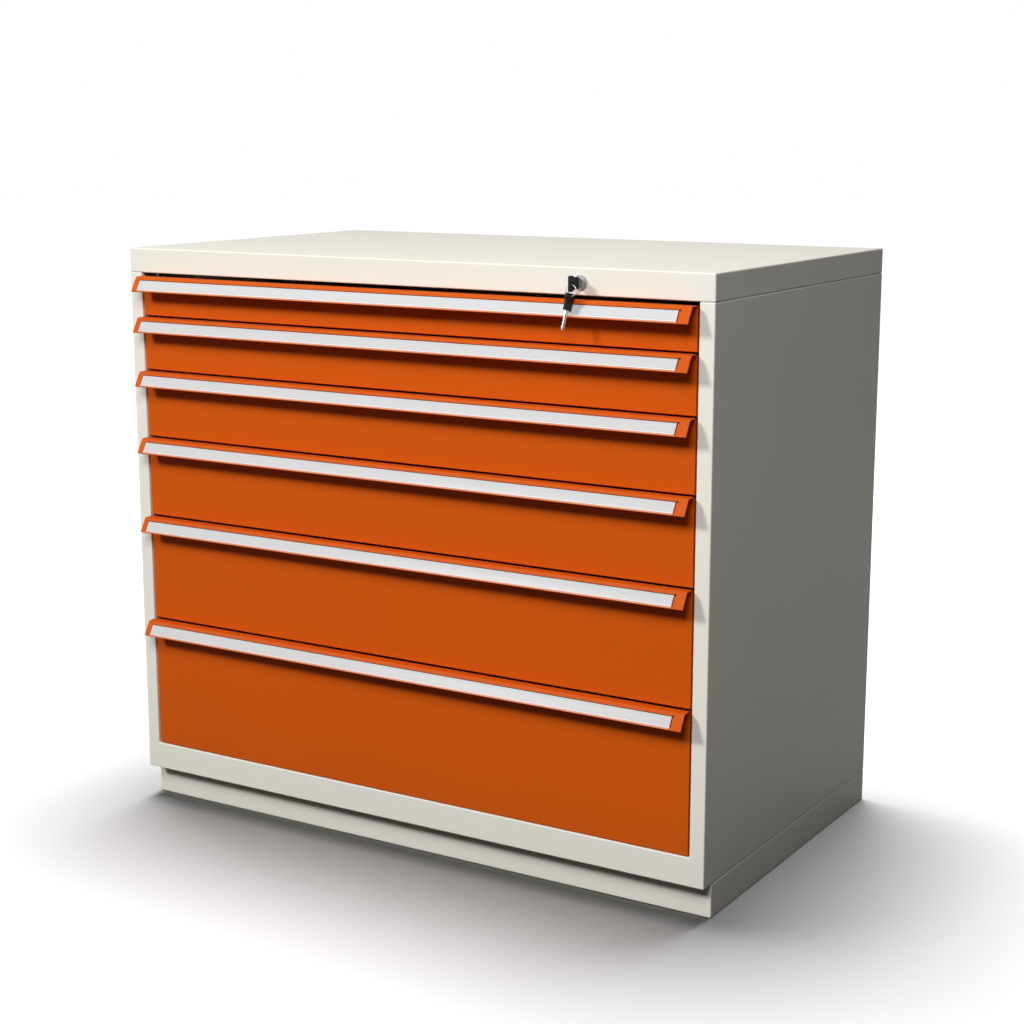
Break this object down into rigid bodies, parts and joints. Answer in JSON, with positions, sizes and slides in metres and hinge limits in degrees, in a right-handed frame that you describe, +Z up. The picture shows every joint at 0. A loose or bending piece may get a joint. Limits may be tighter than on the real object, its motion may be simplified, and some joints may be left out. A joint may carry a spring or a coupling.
{
  "type": "drawer cabinet",
  "caption": "Low sheet steel workshop cabinet on a plinth, with stacked full-extension drawers, full-width grips with label strips, and a central lock with keys.",
  "frame": {"origin": "middle of the whole object's footprint, on the floor", "axes": "+Z up; the drawers open towards -Y; +X to the right as seen from the front"},
  "size_m": [1.193, 0.7516, 1.06],
  "materials": {
    "body_paint": "cream powder coat, low gloss",
    "front_paint": "orange powder coat, low gloss",
    "tray_paint": "cream powder coat, low gloss",
    "label": "pale grey paper under a clear strip",
    "zinc": "zinc plated",
    "nickel": "nickel plated brass",
    "key_plastic": "moulded black plastic"
  },
  "bodies": {
    "cabinet": {"plinth_frame": "body_paint", "floor_panel": "body_paint", "front_frame": "body_paint", "left_side_panel": "body_paint", "right_side_panel": "body_paint", "back_panel": "body_paint", "top_cover": "body_paint", "left_runner_frame": "zinc", "right_runner_frame": "zinc", "lock_housing": "nickel", "lock_nut": "zinc", "rod_guide": "zinc", "crank_bracket": "zinc", "upper_bar_guide": "zinc", "lower_bar_guide": "zinc"},
    "drawer_1": {"drawer_1_front": "front_paint", "drawer_1_label_strip": "label", "drawer_1_box": "tray_paint"},
    "drawer_1_middle_rails": {"drawer_1_left_middle_rail": "zinc", "drawer_1_right_middle_rail": "zinc"},
    "drawer_2": {"drawer_2_front": "front_paint", "drawer_2_label_strip": "label", "drawer_2_box": "tray_paint"},
    "drawer_2_middle_rails": {"drawer_2_left_middle_rail": "zinc", "drawer_2_right_middle_rail": "zinc"},
    "drawer_3": {"drawer_3_front": "front_paint", "drawer_3_label_strip": "label", "drawer_3_box": "tray_paint"},
    "drawer_3_middle_rails": {"drawer_3_left_middle_rail": "zinc", "drawer_3_right_middle_rail": "zinc"},
    "drawer_4": {"drawer_4_front": "front_paint", "drawer_4_label_strip": "label", "drawer_4_box": "tray_paint"},
    "drawer_4_middle_rails": {"drawer_4_left_middle_rail": "zinc", "drawer_4_right_middle_rail": "zinc"},
    "drawer_5": {"drawer_5_front": "front_paint", "drawer_5_label_strip": "label", "drawer_5_box": "tray_paint"},
    "drawer_5_middle_rails": {"drawer_5_left_middle_rail": "zinc", "drawer_5_right_middle_rail": "zinc"},
    "drawer_6": {"drawer_6_front": "front_paint", "drawer_6_label_strip": "label", "drawer_6_box": "tray_paint"},
    "drawer_6_middle_rails": {"drawer_6_left_middle_rail": "zinc", "drawer_6_right_middle_rail": "zinc"},
    "lock_plug": {"lock_plug": "nickel", "lock_cam": "zinc", "cam_screw": "zinc", "key_blade": "nickel", "key_bow": "key_plastic"},
    "transfer_rod": {"transfer_rod": "zinc"},
    "bell_crank": {"bell_crank": "zinc"},
    "locking_bar": {"locking_bar": "zinc"},
    "key_ring": {"key_ring": "nickel"},
    "spare_key": {"spare_key_bow": "key_plastic", "spare_key_blade": "nickel"}
  },
  "joints": [
    {"name": "drawer_1_slide", "type": "slide", "parent": "cabinet", "child": "drawer_1", "axis": [0, -1, 0], "range_m": [0, 0.6]},
    {"name": "drawer_1_rail_slide", "type": "slide", "parent": "cabinet", "child": "drawer_1_middle_rails", "axis": [0, -1, 0], "range_m": [0, 0.3]},
    {"name": "drawer_2_slide", "type": "slide", "parent": "cabinet", "child": "drawer_2", "axis": [0, -1, 0], "range_m": [0, 0.6]},
    {"name": "drawer_2_rail_slide", "type": "slide", "parent": "cabinet", "child": "drawer_2_middle_rails", "axis": [0, -1, 0], "range_m": [0, 0.3]},
    {"name": "drawer_3_slide", "type": "slide", "parent": "cabinet", "child": "drawer_3", "axis": [0, -1, 0], "range_m": [0, 0.6]},
    {"name": "drawer_3_rail_slide", "type": "slide", "parent": "cabinet", "child": "drawer_3_middle_rails", "axis": [0, -1, 0], "range_m": [0, 0.3]},
    {"name": "drawer_4_slide", "type": "slide", "parent": "cabinet", "child": "drawer_4", "axis": [0, -1, 0], "range_m": [0, 0.6]},
    {"name": "drawer_4_rail_slide", "type": "slide", "parent": "cabinet", "child": "drawer_4_middle_rails", "axis": [0, -1, 0], "range_m": [0, 0.3]},
    {"name": "drawer_5_slide", "type": "slide", "parent": "cabinet", "child": "drawer_5", "axis": [0, -1, 0], "range_m": [0, 0.6]},
    {"name": "drawer_5_rail_slide", "type": "slide", "parent": "cabinet", "child": "drawer_5_middle_rails", "axis": [0, -1, 0], "range_m": [0, 0.3]},
    {"name": "drawer_6_slide", "type": "slide", "parent": "cabinet", "child": "drawer_6", "axis": [0, -1, 0], "range_m": [0, 0.6]},
    {"name": "drawer_6_rail_slide", "type": "slide", "parent": "cabinet", "child": "drawer_6_middle_rails", "axis": [0, -1, 0], "range_m": [0, 0.3]},
    {"name": "lock_turn", "type": "hinge", "parent": "cabinet", "child": "lock_plug", "pos_m": [0.3595, -0.32719, 1.036], "axis": [0, -1, 0], "range_deg": [0, 90]},
    {"name": "transfer_rod_slide", "type": "slide", "parent": "cabinet", "child": "transfer_rod", "axis": [-1, 0, 0], "range_m": [0, 0.0199]},
    {"name": "bell_crank_turn", "type": "hinge", "parent": "cabinet", "child": "bell_crank", "pos_m": [0.56269, -0.32719, 1.0265], "axis": [0, -1, 0], "range_deg": [0, 53.6]},
    {"name": "locking_bar_slide", "type": "slide", "parent": "cabinet", "child": "locking_bar", "axis": [0, 0, 1], "range_m": [0, 0.0099]},
    {"name": "key_ring_swing", "type": "hinge", "parent": "lock_plug", "child": "key_ring", "pos_m": [0.3595, -0.35829, 1.03476], "axis": [-1, 0, 0], "range_deg": [0, 90]},
    {"name": "spare_key_swing", "type": "hinge", "parent": "key_ring", "child": "spare_key", "pos_m": [0.35844, -0.36025, 1.01612], "axis": [-0.9936, 0.0118, 0.1126], "range_deg": [0, 10]}
  ],
  "couplings": [
    {"joint": "drawer_1_rail_slide", "follows": "drawer_1_slide", "ratio": 0.5},
    {"joint": "drawer_2_rail_slide", "follows": "drawer_2_slide", "ratio": 0.5},
    {"joint": "drawer_3_rail_slide", "follows": "drawer_3_slide", "ratio": 0.5},
    {"joint": "drawer_4_rail_slide", "follows": "drawer_4_slide", "ratio": 0.5},
    {"joint": "drawer_5_rail_slide", "follows": "drawer_5_slide", "ratio": 0.5},
    {"joint": "drawer_6_rail_slide", "follows": "drawer_6_slide", "ratio": 0.5},
    {"joint": "lock_turn", "follows": "locking_bar_slide", "rad_per_m": 158.67},
    {"joint": "transfer_rod_slide", "follows": "locking_bar_slide", "ratio": 1.9998},
    {"joint": "bell_crank_turn", "follows": "locking_bar_slide", "rad_per_m": 94.29}
  ]
}
